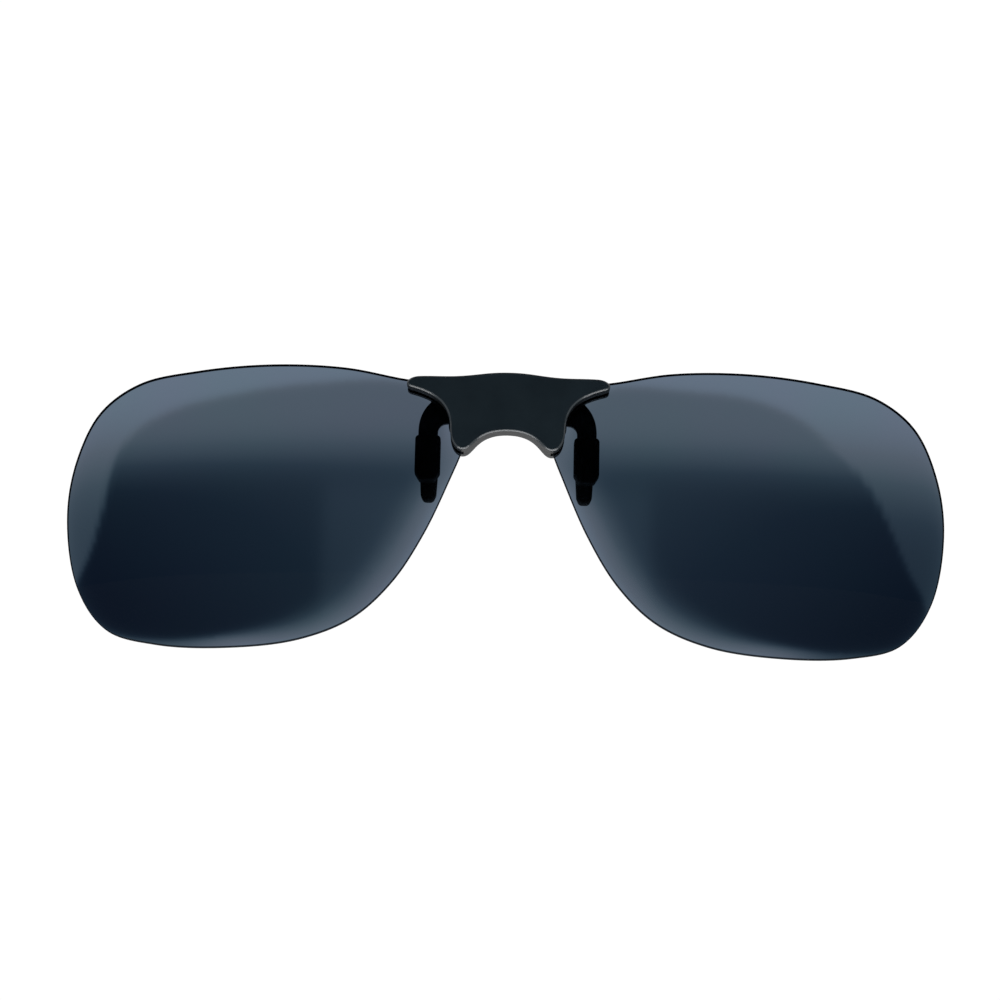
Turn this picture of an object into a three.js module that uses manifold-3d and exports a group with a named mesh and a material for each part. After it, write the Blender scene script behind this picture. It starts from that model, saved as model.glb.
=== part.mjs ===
// Clip-on sunglasses: two rimless tinted lenses on a moulded bridge housing, with a sprung pinch clamp
// behind it that grips the bridge of a pair of spectacles between rubber-sleeved prongs.
// Millimetres. +Z is up and the lens fronts face -Y, away from the wearer.
// The origin is the middle of the grip: halfway between the front and the rear prongs, on the
// symmetry plane.
import * as THREE from "three";
import { mergeVertices } from "three/addons/utils/BufferGeometryUtils.js";
import Module from "manifold-3d";

const wasm = await Module();
wasm.setup();

const THROUGH = [-20, 20]; // a cutter's span, longer than anything it cuts
const OVERLAP = 0.3; // how far joined solids run into each other

// Lenses: spherical shells, one on each side of the nose
const LENS_RADIUS = 110; // mid-surface
const LENS_THICKNESS = 1.2;
const LENS_CENTRE = { x: 20, y: 103.6, z: -8 }; // of the sphere, on the right-hand lens
const LENS_CAP_REACH = 57; // how far the shell is turned before it is trimmed to its outline
const LENS_OUTLINE = [
  // x and z of a closed smooth curve, anticlockwise from the hidden corner beside the pivot
  [5.6, 4.0], [6.95, -0.5], [8.3, -4.0], [12.2, -13.0], [16.9, -20.6], [22.8, -26.1], [31, -29.35],
  [42, -30.5], [53, -29.85], [61, -27.4], [65.9, -20.8], [68.1, -9.5], [67.0, -0.5], [63.6, 6.9],
  [57.5, 11.15], [48, 12.75], [36.5, 13.4], [25, 12.8], [15.8, 11.1], [9.6, 10.5], [6.4, 8.2],
];
const LENS_OUTLINE_STEPS = 64;
const LENS_FIT_GAP = 0.3; // round the lens where the housing closes over it

// Bridge housing: a front cover and a rear base, screwed together over the lenses. The outline is a
// gull-winged bar with a round lobe each side of the nose arch; the base's arch is a little higher.
const HOUSING_TOP = 11.7;
const HOUSING_CURVES = [
  // cubic curves in x and z, from the middle of the top to the bottom of the lobe
  [3.4, 11.7, 4.6, 11.2, 8.0, 11.0],
  [10, 10.9, 11.6, 11.0, 13.6, 10.9],
  [15.0, 10.8, 16.0, 9.5, 14.8, 9.2],
  [11.0, 8.2, 8.8, 6.6, 8.75, 3.0],
  [8.7, 0.6, 7.8, -0.45, 6.8, -0.45],
];
const ARCH_REACH = 5.0; // half-width over which the arch's sides turn up and level off
const LOBE_BOTTOM = -0.45;
const COVER_ARCH_TOP = 2.5;
const BASE_ARCH_TOP = 3.0;
const COVER_FRONT = -8.0;
const COVER_BACK = -5.0;
const COVER_CHAMFER = 0.35;
const BASE_FRONT = -4.9;
const BASE_BACK = -2.6;

// Clamp pivot: the pin lies along X
const PIVOT = { y: -0.6, z: 7.6 };
const PIN_RADIUS = 0.6;
const EAR_BORE_RADIUS = 0.65;
const KNUCKLE_BORE_RADIUS = 0.67;
const PIN_HALF_LENGTH = 5.7;
const PIN_HEAD_RADIUS = 1.0;
const PIN_HEAD_SPAN = [5.4, 6.0];
const KNUCKLE_RADIUS = 1.7;
const EAR_SPAN = [3.9, 5.2]; // of the base, each side
const KNUCKLE_SPAN = [2.4, 3.7]; // of the lever, each side

// Lens screws: lower and upper on each side, from behind, with a bush in each lens hole
const LENS_SCREWS = { lower: [7.6, 4.3], upper: [10.5, 8.6] };
const SCREW_SHANK_RADIUS = 0.6;
const SCREW_HOLE_RADIUS = 0.72;
const SCREW_TIP = -6.9;
const SCREW_TIP_ROOM = 0.1; // beyond it in the cover's blind hole
const SCREW_HEAD_RADIUS = 1.2;
const SCREW_HEAD_SPAN = [-1.7, -0.95];
const SCREW_SLOT_WIDTH = 0.35;
const SCREW_SLOT_DEPTH = 0.3;
const BUSH_RADIUS = 1.0;
const BUSH_HALF_LENGTH = 0.7;
const LENS_HOLE_RADIUS = 1.1;

// Front prongs: stamped arms held by the lens screws, each in a rubber sleeve
const FRONT_ARM_SPAN = [-2.55, -1.75];
const FRONT_ARM_BOSS_RADIUS = 1.45;
const FRONT_SHAFT = { x: 12.2, top: 3.4, bottom: -3.3, topHalf: 1.5, bottomHalf: 1.5 };
const FRONT_HOOK_OUTSIDE = [13.7, 5.6, 13.0, 7.0, 11.8, 8.2]; // cubic curve up from the shaft
const FRONT_HOOK_ROOT = [[9.4, 9.9], [6.6, 5.3]];
const FRONT_HOOK_INNER_RADIUS = 1.35;
const FRONT_SLEEVE = {
  x: 12.2, top: 2.9, corner: -2.9, bottom: -4.2, topHalf: 1.95, cornerHalf: 1.95, tipHalf: 1.15,
};
const FRONT_SLEEVE_SPAN = [-3.0, -0.15];

// Rear prongs: stamped arms riveted to the clamp lever, each in a longer, tapered rubber sleeve
const REAR_ARM_SPAN = [0.7, 1.5];
const REAR_HOOK_OUTSIDE = [13.2, 7.0, 12.2, 9.0, 9.0, 9.0]; // cubic curve up from the shaft
const REAR_HOOK_ROOT = [[5.7, 9.0], [5.7, 5.7], [8.2, 5.7], [9.0, 6.3]];
const REAR_SHAFT = { x: 12.0, top: 4.5, bottom: -6.1, topHalf: 1.2, bottomHalf: 0.72 };
const REAR_SLEEVE = {
  x: 12.0, top: 3.4, corner: -5.8, bottom: -6.8, topHalf: 1.7, cornerHalf: 1.2, tipHalf: 0.75,
};
const REAR_SLEEVE_SPAN = [0.15, 2.2];
const SLEEVE_FIT_GAP = 0.1;
const SLEEVE_ROUNDING = 0.25;

// Rivets: two through each rear arm and the lever
const RIVETS = { lower: [7.2, 6.5], upper: [7.2, 8.3] };
const RIVET_RADIUS = 0.5;
const RIVET_HOLE_RADIUS = 0.6;
const RIVET_HEAD_RADIUS = 0.8;
const RIVET_HEAD_LENGTH = 0.4;
const RIVET_HEAD_GAP = 0.05;

// Clamp lever: a plate behind the housing with a thumb tab that leans back
const LEVER_FRONT = 1.55;
const LEVER_THICKNESS = 1.5;
const LEVER_BOTTOM = 4.7;
const LEVER_BEND = 9.3; // height where the tab starts to lean
const LEVER_TOP = 13.6;
const LEVER_SHOULDER = 9.6; // height where the plate narrows to the tab
const LEVER_CORNER = 1.2;
const TAB_LEAN = THREE.MathUtils.degToRad(35);
const PLATE_HALF_WIDTH = 9.2;
const TAB_HALF_WIDTH = 6.5;

// Thumb grip: a ribbed pad on the back of the tab
const THUMB_GRIP = {
  halfWidth: 5.4, low: 10.1, high: 13.0, thickness: 0.75, gap: 0.1, ribs: 5, ribHeight: 0.3,
};

// Torsion spring: one coil round the pin, a leg on the base and a leg on the tab
const SPRING_WIRE_RADIUS = 0.225;
const SPRING_RADIUS = 1.1;
const SPRING_PITCH = 0.6;
const SPRING_TURNS = 4.5;
const SPRING_LEGS = { front: [-2.3, 11.0], back: [[0.76, 8.7], [1.15, 9.7], [2.35, 11.4]] };

const ROUND_SEGMENTS = 16;

const sunglasses = new THREE.Group();
sunglasses.name = "clip_on_sunglasses";

const material = (color, roughness, metalness) =>
  new THREE.MeshStandardMaterial({ color, roughness, metalness });
const MATERIALS = {
  lens: material("#0e1a28", 0.05, 0),
  housing: material("#18202a", 0.3, 0),
  moulding: material("#15171a", 0.5, 0),
  arm: material("#101114", 0.35, 0.6),
  rubber: material("#0b0b0d", 0.75, 0),
  steel: material("#a9acb0", 0.3, 1),
  bush: material("#c9cdd2", 0.5, 0),
};

function add(name, solid, look) {
  const mesh = new THREE.Mesh(geometryOf(solid), MATERIALS[look]);
  mesh.name = name;
  sunglasses.add(mesh);
}

// --- solids and booleans -------------------------------------------------------------------------

function solidOf(geometry) {
  const bare = geometry.clone();
  bare.deleteAttribute("normal");
  bare.deleteAttribute("uv");
  const merged = mergeVertices(bare, 1e-4);
  const corners = merged.index.array;
  const triangles = [];
  for (let i = 0; i < corners.length; i += 3) {
    const [a, b, c] = corners.subarray(i, i + 3);
    if (a !== b && b !== c && c !== a) triangles.push(a, b, c); // a lathe's poles give flat ones
  }
  return new wasm.Manifold(
    new wasm.Mesh({
      numProp: 3,
      vertProperties: merged.attributes.position.array,
      triVerts: new Uint32Array(triangles),
    }),
  );
}

function geometryOf(solid) {
  const mesh = solid.getMesh();
  const geometry = new THREE.BufferGeometry();
  geometry.setAttribute("position", new THREE.BufferAttribute(mesh.vertProperties, 3));
  geometry.setIndex(new THREE.BufferAttribute(mesh.triVerts, 1));
  geometry.computeVertexNormals();
  return geometry;
}

// A shape drawn in x and z, made solid from y = front to y = back.
function plate(shape, [front, back], options = {}) {
  const geometry = new THREE.ExtrudeGeometry(shape, {
    depth: back - front, bevelEnabled: false, curveSegments: 10, ...options,
  });
  geometry.rotateX(Math.PI / 2).translate(0, back, 0);
  return solidOf(geometry);
}

// The same with both rims rounded over by the given bevel, inside the shape's outline.
function softPlate(shape, [front, back], bevel, segments = 2) {
  return plate(shape, [front + bevel, back - bevel], {
    bevelEnabled: true, bevelThickness: bevel, bevelSize: bevel, bevelOffset: -bevel,
    bevelSegments: segments,
  });
}

// A profile drawn in y and z, made solid along X over the given span.
function beam(shape, [left, right]) {
  const geometry = new THREE.ExtrudeGeometry(shape, { depth: right - left, bevelEnabled: false });
  geometry.rotateX(Math.PI / 2).rotateZ(Math.PI / 2).translate(left, 0, 0);
  return solidOf(geometry);
}

// A round bar along Y at (x, z).
function rodAlongY(x, z, radius, [front, back]) {
  const geometry = new THREE.CylinderGeometry(radius, radius, back - front, ROUND_SEGMENTS);
  geometry.translate(x, (front + back) / 2, z);
  return solidOf(geometry);
}

// A round bar along X on the pivot's line.
function rodAlongX(radius, [left, right]) {
  const geometry = new THREE.CylinderGeometry(radius, radius, right - left, ROUND_SEGMENTS);
  geometry.rotateZ(Math.PI / 2).translate((left + right) / 2, PIVOT.y, PIVOT.z);
  return solidOf(geometry);
}

function block([x0, x1], [y0, y1], [z0, z1]) {
  const geometry = new THREE.BoxGeometry(x1 - x0, y1 - y0, z1 - z0);
  geometry.translate((x0 + x1) / 2, (y0 + y1) / 2, (z0 + z1) / 2);
  return solidOf(geometry);
}

const mirrored = (solid) => solid.mirror([1, 0, 0]);

// The span [near, far] on one side of the symmetry plane: side is 1 or -1.
const sideSpan = ([near, far], side) => (side > 0 ? [near, far] : [-far, -near]);

// --- outlines ------------------------------------------------------------------------------------

const shapeOf = (points) => new THREE.Shape(points.map(([x, y]) => new THREE.Vector2(x, y)));

function lensOutline(grow = 0) {
  const points = LENS_OUTLINE.map(([x, z]) => new THREE.Vector3(x, z, 0));
  const curve = new THREE.CatmullRomCurve3(points, true, "centripetal");
  return shapeOf(
    Array.from({ length: LENS_OUTLINE_STEPS }, (_, i) => {
      const p = curve.getPointAt(i / LENS_OUTLINE_STEPS);
      const t = curve.getTangentAt(i / LENS_OUTLINE_STEPS);
      return [p.x + grow * t.y, p.y - grow * t.x];
    }),
  );
}

function housingOutline(archTop) {
  const half = new THREE.Path();
  half.moveTo(0, HOUSING_TOP);
  for (const curve of HOUSING_CURVES) half.bezierCurveTo(...curve);
  half.bezierCurveTo(ARCH_REACH, LOBE_BOTTOM, ARCH_REACH, archTop, 0, archTop);
  const right = half.getPoints(5).map((p) => [p.x, p.y]);
  const left = right.slice(1, -1).reverse().map(([x, z]) => [-x, z]);
  return shapeOf([...right, ...left]);
}

// A sleeve's front view, symmetric about x: straight sides from the top, then corners to a blunt tip.
function sleeveOutline({ x, top, corner, bottom, topHalf, cornerHalf, tipHalf }) {
  return shapeOf([
    [x + topHalf, top], [x + cornerHalf, corner], [x + tipHalf, bottom],
    [x - tipHalf, bottom], [x - cornerHalf, corner], [x - topHalf, top],
  ]);
}

// An arm's straight shaft, grown by the given gap, from the height top down.
function shaftOutline({ x, bottom, topHalf, bottomHalf }, top, grow = 0) {
  return shapeOf([
    [x + topHalf + grow, top], [x + bottomHalf + grow, bottom - grow],
    [x - bottomHalf - grow, bottom - grow], [x - topHalf - grow, top],
  ]);
}

// --- lenses --------------------------------------------------------------------------------------

// A spherical shell, turned about the line from the sphere's centre towards the front.
function lensShell(thickness) {
  const rings = 9;
  const widest = Math.asin(LENS_CAP_REACH / LENS_RADIUS);
  const arc = (radius) =>
    Array.from({ length: rings + 1 }, (_, i) => {
      const a = (widest * i) / rings;
      return new THREE.Vector2(radius * Math.sin(a), -radius * Math.cos(a));
    });
  const front = arc(LENS_RADIUS + thickness / 2);
  const back = arc(LENS_RADIUS - thickness / 2).reverse();
  const geometry = new THREE.LatheGeometry([...front, ...back], 36);
  geometry.translate(LENS_CENTRE.x, LENS_CENTRE.y, LENS_CENTRE.z);
  return solidOf(geometry);
}

const lensBlank = (thickness, grow) => lensShell(thickness).intersect(plate(lensOutline(grow), THROUGH));

// The right-hand lens: trimmed to its outline, with a hole for each screw's bush.
function lens() {
  return Object.values(LENS_SCREWS).reduce(
    (blank, [x, z]) => blank.subtract(rodAlongY(x, z, LENS_HOLE_RADIUS, THROUGH)),
    lensBlank(LENS_THICKNESS, 0),
  );
}

// The room that both halves of the housing leave for the lens's corner.
const lensRoom = () => lensBlank(LENS_THICKNESS + 2 * LENS_FIT_GAP, LENS_FIT_GAP);

// --- housing -------------------------------------------------------------------------------------

function eachScrew(solid, change) {
  let result = solid;
  for (const side of [1, -1])
    for (const [x, z] of Object.values(LENS_SCREWS)) result = change(result, side * x, z);
  return result;
}

function cover() {
  // The chamfer comes out on both rims, so the body is made deeper and its back cut off flat.
  const chamfered = plate(housingOutline(COVER_ARCH_TOP), [COVER_FRONT + COVER_CHAMFER, BASE_BACK], {
    bevelEnabled: true, bevelThickness: COVER_CHAMFER, bevelSize: COVER_CHAMFER,
    bevelOffset: -COVER_CHAMFER, bevelSegments: 2,
  });
  const room = lensRoom();
  const opened = chamfered.trimByPlane([0, -1, 0], -COVER_BACK).subtract(room).subtract(mirrored(room));
  return eachScrew(opened, (solid, x, z) =>
    solid.subtract(rodAlongY(x, z, SCREW_HOLE_RADIUS, [SCREW_TIP - SCREW_TIP_ROOM, BASE_BACK])),
  );
}

// A round knuckle on the pivot's line, carried by a block from y = near to y = far.
function knuckle(span, [near, far]) {
  const carrier = block(span, [near, far], [PIVOT.z - KNUCKLE_RADIUS, PIVOT.z + KNUCKLE_RADIUS]);
  return rodAlongX(KNUCKLE_RADIUS, span).add(carrier);
}

function base() {
  const room = lensRoom();
  const body = [1, -1].reduce(
    (solid, side) => solid.add(knuckle(sideSpan(EAR_SPAN, side), [BASE_BACK - OVERLAP, PIVOT.y])),
    plate(housingOutline(BASE_ARCH_TOP), [BASE_FRONT, BASE_BACK]),
  );
  const opened = body
    .subtract(rodAlongX(EAR_BORE_RADIUS, THROUGH))
    .subtract(room)
    .subtract(mirrored(room));
  return eachScrew(opened, (solid, x, z) => solid.subtract(rodAlongY(x, z, SCREW_HOLE_RADIUS, THROUGH)));
}

function lensScrew(x, z) {
  const [seat, top] = SCREW_HEAD_SPAN;
  const across = [x - 2 * SCREW_HEAD_RADIUS, x + 2 * SCREW_HEAD_RADIUS];
  const slot = block(across, [top - SCREW_SLOT_DEPTH, top + 1], [
    z - SCREW_SLOT_WIDTH / 2, z + SCREW_SLOT_WIDTH / 2,
  ]);
  return rodAlongY(x, z, SCREW_SHANK_RADIUS, [SCREW_TIP, seat + OVERLAP])
    .add(rodAlongY(x, z, SCREW_HEAD_RADIUS, [seat, top]))
    .subtract(slot);
}

// Where the lens's mid-surface lies at (x, z).
function lensDepth(x, z) {
  const across = Math.hypot(Math.abs(x) - LENS_CENTRE.x, z - LENS_CENTRE.z);
  return LENS_CENTRE.y - Math.sqrt(LENS_RADIUS ** 2 - across ** 2);
}

// A plain tube through the lens, between the two halves of the housing.
function lensBush(x, z) {
  const span = [lensDepth(x, z) - BUSH_HALF_LENGTH, lensDepth(x, z) + BUSH_HALF_LENGTH];
  return rodAlongY(x, z, BUSH_RADIUS, span).subtract(rodAlongY(x, z, SCREW_HOLE_RADIUS, THROUGH));
}

// --- clamp ---------------------------------------------------------------------------------------

// A root plate round both screws, then a hook that turns down into the straight shaft.
function frontArm() {
  const { x, top, bottom, topHalf } = FRONT_SHAFT;
  const inner = x - topHalf;
  const outer = x + topHalf;
  const radius = FRONT_HOOK_INNER_RADIUS;
  const hook = new THREE.Shape();
  hook.moveTo(outer, bottom);
  hook.lineTo(outer, top);
  hook.bezierCurveTo(...FRONT_HOOK_OUTSIDE);
  for (const point of FRONT_HOOK_ROOT) hook.lineTo(...point);
  hook.lineTo(inner - radius, top + radius);
  hook.absarc(inner - radius, top, radius, Math.PI / 2, 0, true);
  hook.lineTo(inner, bottom);
  let arm = plate(hook, FRONT_ARM_SPAN);
  const screws = Object.values(LENS_SCREWS);
  for (const [sx, sz] of screws) arm = arm.add(rodAlongY(sx, sz, FRONT_ARM_BOSS_RADIUS, FRONT_ARM_SPAN));
  for (const [sx, sz] of screws) arm = arm.subtract(rodAlongY(sx, sz, SCREW_HOLE_RADIUS, THROUGH));
  return arm;
}

// A root plate for the rivets, then a hook that turns down into the tapered shaft.
function rearArm() {
  const { x, top, bottom, topHalf, bottomHalf } = REAR_SHAFT;
  const hook = new THREE.Shape();
  hook.moveTo(x + bottomHalf, bottom);
  hook.lineTo(x + topHalf, top);
  hook.bezierCurveTo(...REAR_HOOK_OUTSIDE);
  for (const point of REAR_HOOK_ROOT) hook.lineTo(...point);
  hook.quadraticCurveTo(x - topHalf, REAR_HOOK_ROOT.at(-1)[1], x - topHalf, top);
  hook.lineTo(x - bottomHalf, bottom);
  return Object.values(RIVETS).reduce(
    (arm, [rx, rz]) => arm.subtract(rodAlongY(rx, rz, RIVET_HOLE_RADIUS, THROUGH)),
    plate(hook, REAR_ARM_SPAN),
  );
}

// A rubber sleeve, open at the top, with room for the shaft that it covers.
function sleeve(outline, span, shaft, [armFront, armBack]) {
  const room = plate(shaftOutline(shaft, shaft.top, SLEEVE_FIT_GAP), [
    armFront - SLEEVE_FIT_GAP, armBack + SLEEVE_FIT_GAP,
  ]);
  return softPlate(sleeveOutline(outline), span, SLEEVE_ROUNDING).subtract(room);
}

// How far back the tab's front face has leaned at height z.
const tabFront = (z) => LEVER_FRONT + Math.max(0, z - LEVER_BEND) * Math.tan(TAB_LEAN);

function lever() {
  const run = LEVER_THICKNESS / Math.cos(TAB_LEAN); // the tab's thickness measured along Y
  const bendBack = LEVER_BEND - LEVER_THICKNESS * Math.tan(TAB_LEAN / 2);
  const side = shapeOf([
    [LEVER_FRONT, LEVER_BOTTOM], [LEVER_FRONT + LEVER_THICKNESS, LEVER_BOTTOM],
    [LEVER_FRONT + LEVER_THICKNESS, bendBack], [tabFront(LEVER_TOP) + run, LEVER_TOP],
    [tabFront(LEVER_TOP), LEVER_TOP], [LEVER_FRONT, LEVER_BEND],
  ]);
  let body = beam(side, [-PLATE_HALF_WIDTH, PLATE_HALF_WIDTH]).intersect(plate(leverFace(), THROUGH));
  for (const sign of [1, -1]) {
    body = body.add(knuckle(sideSpan(KNUCKLE_SPAN, sign), [PIVOT.y, LEVER_FRONT + OVERLAP]));
    for (const [x, z] of Object.values(RIVETS))
      body = body.subtract(rodAlongY(sign * x, z, RIVET_HOLE_RADIUS, THROUGH));
  }
  return body.subtract(rodAlongX(KNUCKLE_BORE_RADIUS, THROUGH));
}

// The lever seen from behind: a wide plate that narrows at its shoulders to the tab.
function leverFace() {
  const plateHalf = PLATE_HALF_WIDTH;
  const tabHalf = TAB_HALF_WIDTH;
  const corner = LEVER_CORNER;
  const face = new THREE.Shape();
  face.moveTo(-plateHalf + corner, LEVER_BOTTOM);
  face.lineTo(plateHalf - corner, LEVER_BOTTOM);
  face.quadraticCurveTo(plateHalf, LEVER_BOTTOM, plateHalf, LEVER_BOTTOM + corner);
  face.lineTo(plateHalf, LEVER_SHOULDER - corner);
  face.quadraticCurveTo(plateHalf, LEVER_SHOULDER, plateHalf - corner, LEVER_SHOULDER);
  face.quadraticCurveTo(tabHalf, LEVER_SHOULDER, tabHalf, LEVER_SHOULDER + corner);
  face.lineTo(tabHalf, LEVER_TOP - 2 * corner);
  face.quadraticCurveTo(tabHalf, LEVER_TOP, tabHalf - 2 * corner, LEVER_TOP);
  face.lineTo(2 * corner - tabHalf, LEVER_TOP);
  face.quadraticCurveTo(-tabHalf, LEVER_TOP, -tabHalf, LEVER_TOP - 2 * corner);
  face.lineTo(-tabHalf, LEVER_SHOULDER + corner);
  face.quadraticCurveTo(-tabHalf, LEVER_SHOULDER, corner - plateHalf, LEVER_SHOULDER);
  face.quadraticCurveTo(-plateHalf, LEVER_SHOULDER, -plateHalf, LEVER_SHOULDER - corner);
  face.lineTo(-plateHalf, LEVER_BOTTOM + corner);
  face.quadraticCurveTo(-plateHalf, LEVER_BOTTOM, corner - plateHalf, LEVER_BOTTOM);
  return face;
}

function rivet(x, z) {
  const front = REAR_ARM_SPAN[0] - RIVET_HEAD_GAP;
  const back = LEVER_FRONT + LEVER_THICKNESS + RIVET_HEAD_GAP;
  return rodAlongY(x, z, RIVET_RADIUS, [front - OVERLAP, back + OVERLAP])
    .add(rodAlongY(x, z, RIVET_HEAD_RADIUS, [front - RIVET_HEAD_LENGTH, front]))
    .add(rodAlongY(x, z, RIVET_HEAD_RADIUS, [back, back + RIVET_HEAD_LENGTH]));
}

// A pad whose back is a row of ribs, following the tab's slope.
function thumbGrip() {
  const { halfWidth, low, high, thickness, gap, ribs, ribHeight } = THUMB_GRIP;
  const along = new THREE.Vector2(Math.sin(TAB_LEAN), Math.cos(TAB_LEAN));
  const out = new THREE.Vector2(along.y, -along.x);
  const start = new THREE.Vector2(tabFront(low), low).addScaledVector(out, LEVER_THICKNESS + gap);
  const length = (high - low) / along.y;
  const at = (u, height) => {
    const p = start.clone().addScaledVector(along, u).addScaledVector(out, height);
    return [p.x, p.y];
  };
  const pitch = length / ribs;
  const profile = [at(0, 0)];
  for (let i = 0; i < ribs; i += 1)
    profile.push(
      at(pitch * i, thickness - ribHeight),
      at(pitch * (i + 0.25), thickness),
      at(pitch * (i + 0.75), thickness),
    );
  profile.push(at(length, thickness - ribHeight), at(length, 0));
  return beam(shapeOf(profile), [-halfWidth, halfWidth]);
}

// --- pivot pin and spring ------------------------------------------------------------------------

function pivotPin() {
  const shank = rodAlongX(PIN_RADIUS, [-PIN_HALF_LENGTH, PIN_HALF_LENGTH]);
  return shank.add(rodAlongX(PIN_HEAD_RADIUS, PIN_HEAD_SPAN));
}

// The wire comes down from the base, makes its turns round the pin and goes up to the tab.
function torsionSpring() {
  const coilHalf = (SPRING_TURNS * SPRING_PITCH) / 2;
  const stepsPerTurn = 12;
  const steps = SPRING_TURNS * stepsPerTurn;
  const [frontY, frontZ] = SPRING_LEGS.front;
  const points = [new THREE.Vector3(-coilHalf, frontY, frontZ)];
  for (let i = 0; i <= steps; i += 1) {
    const turn = Math.PI + (i / stepsPerTurn) * 2 * Math.PI;
    points.push(
      new THREE.Vector3(
        -coilHalf + (i / stepsPerTurn) * SPRING_PITCH,
        PIVOT.y + SPRING_RADIUS * Math.cos(turn),
        PIVOT.z + SPRING_RADIUS * Math.sin(turn),
      ),
    );
  }
  for (const [y, z] of SPRING_LEGS.back) points.push(new THREE.Vector3(coilHalf, y, z));
  const section = new THREE.Shape();
  section.absarc(0, 0, SPRING_WIRE_RADIUS, 0, 2 * Math.PI);
  const path = new THREE.CatmullRomCurve3(points, false, "centripetal");
  const options = { extrudePath: path, steps: 72, curveSegments: 3, bevelEnabled: false };
  return solidOf(new THREE.ExtrudeGeometry(section, options));
}

// --- assembly ------------------------------------------------------------------------------------

add("cover", cover(), "housing");
add("base", base(), "moulding");
add("pivot_pin", pivotPin(), "steel");
add("torsion_spring", torsionSpring(), "steel");
add("clamp_lever", lever(), "moulding");
add("thumb_grip", thumbGrip(), "rubber");

// Left and right are the wearer's: the wearer's left is +X.
const pairs = [
  ["lens", lens(), "lens"],
  ["front_arm", frontArm(), "arm"],
  ["front_sleeve", sleeve(FRONT_SLEEVE, FRONT_SLEEVE_SPAN, FRONT_SHAFT, FRONT_ARM_SPAN), "rubber"],
  ["rear_arm", rearArm(), "arm"],
  ["rear_sleeve", sleeve(REAR_SLEEVE, REAR_SLEEVE_SPAN, REAR_SHAFT, REAR_ARM_SPAN), "rubber"],
];
for (const [name, solid, look] of pairs) {
  add(`${name}_left`, solid, look);
  add(`${name}_right`, mirrored(solid), look);
}
for (const [side, sign] of [["left", 1], ["right", -1]]) {
  for (const [place, [x, z]] of Object.entries(LENS_SCREWS)) {
    add(`lens_screw_${side}_${place}`, lensScrew(sign * x, z), "steel");
    add(`lens_bush_${side}_${place}`, lensBush(sign * x, z), "bush");
  }
  for (const [place, [x, z]] of Object.entries(RIVETS))
    add(`rivet_${side}_${place}`, rivet(sign * x, z), "steel");
}

export default sunglasses;
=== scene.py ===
import math

import bmesh
import bpy
import numpy as np
from mathutils import Matrix, Vector


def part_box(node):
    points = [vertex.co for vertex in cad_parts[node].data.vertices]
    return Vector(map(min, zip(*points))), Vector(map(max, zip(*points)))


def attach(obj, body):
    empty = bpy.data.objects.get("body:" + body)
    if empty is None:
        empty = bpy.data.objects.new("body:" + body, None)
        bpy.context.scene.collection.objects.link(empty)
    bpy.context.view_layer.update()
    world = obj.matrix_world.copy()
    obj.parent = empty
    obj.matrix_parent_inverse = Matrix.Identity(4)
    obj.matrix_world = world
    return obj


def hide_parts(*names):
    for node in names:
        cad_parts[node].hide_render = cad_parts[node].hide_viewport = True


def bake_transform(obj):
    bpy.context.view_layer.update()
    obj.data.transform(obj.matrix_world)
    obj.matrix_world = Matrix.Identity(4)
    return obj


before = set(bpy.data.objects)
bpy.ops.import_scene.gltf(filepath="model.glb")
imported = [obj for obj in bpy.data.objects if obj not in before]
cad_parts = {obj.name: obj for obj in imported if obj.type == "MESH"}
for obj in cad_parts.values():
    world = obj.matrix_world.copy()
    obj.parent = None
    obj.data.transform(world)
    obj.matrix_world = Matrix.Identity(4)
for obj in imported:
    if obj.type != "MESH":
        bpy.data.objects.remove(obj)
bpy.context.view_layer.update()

MM = 0.001
SIDES = {"left": 1, "right": -1}
THROUGH = (-20, 20)  # the reach of a cutter that goes right through
scene = bpy.context.scene
scene.view_settings.view_transform = "Standard"

# --- driving sizes, in millimetres ----------------------------------------------------------------

LENS_RADIUS = 110.0
LENS_THICKNESS = 1.2
LENS_CENTRE = (20.0, 103.6, -8.0)
LENS_OUTLINE = [
    (5.6, 4.0), (6.95, -0.5), (8.3, -4.0), (12.2, -13.0), (16.9, -20.6), (22.8, -26.1), (31, -29.35),
    (42, -30.5), (53, -29.85), (61, -27.4), (65.9, -20.8), (68.1, -9.5), (67.0, -0.5), (63.6, 6.9),
    (57.5, 11.15), (48, 12.75), (36.5, 13.4), (25, 12.8), (15.8, 11.1), (9.6, 10.5), (6.4, 8.2),
]
LENS_MIDDLE = (38.0, -8.0)
LENS_RINGS = 30
LENS_RIM = 0.12
LENS_TRIM = 0.02  # off the whole outline
LENS_FIT_GAP = 0.3  # round it, in the housing
# A cast shadow painted into the tint, darker than the painted lit band round it: its outline, outwards from
# the nose along the bottom and then up and back along the top
LENS_PAINTED_SHADOW_INNER = [
    (10.2, 6.0), (10.4, 0.0), (11.8, -4.5), (15.3, -11.4), (19.6, -18.4), (24.4, -23.6), (31.5, -27.0),
    (42, -28.7), (53, -29.1), (61, -27.3),
]
LENS_PAINTED_SHADOW_OUTER = {
    "left": [
        (64.9, -22), (61.7, -15.5), (58.3, -8), (55, -2.5), (50.7, 1.5), (45.5, 6), (38, 9), (28, 10),
        (15, 10),
    ],
    "right": [
        (66.0, -22), (63.7, -15), (62.2, -9), (61.3, -4), (60.2, 0), (57.3, 3.4), (52, 6.3), (42, 8.6),
        (30, 10.2), (15, 10.3),
    ],
}
LENS_SHADOW_WEDGE_X = {"left": 21.8, "right": 27.6}  # where the painted shadow turns a little lighter again towards the nose
LENS_TONES = 125  # steps of clearness, from opaque to clear
LENS_LIT_BAND_LOW = {"left": 42, "right": 58}  # of those steps, low down in the painted lit band round the painted shadow

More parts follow.
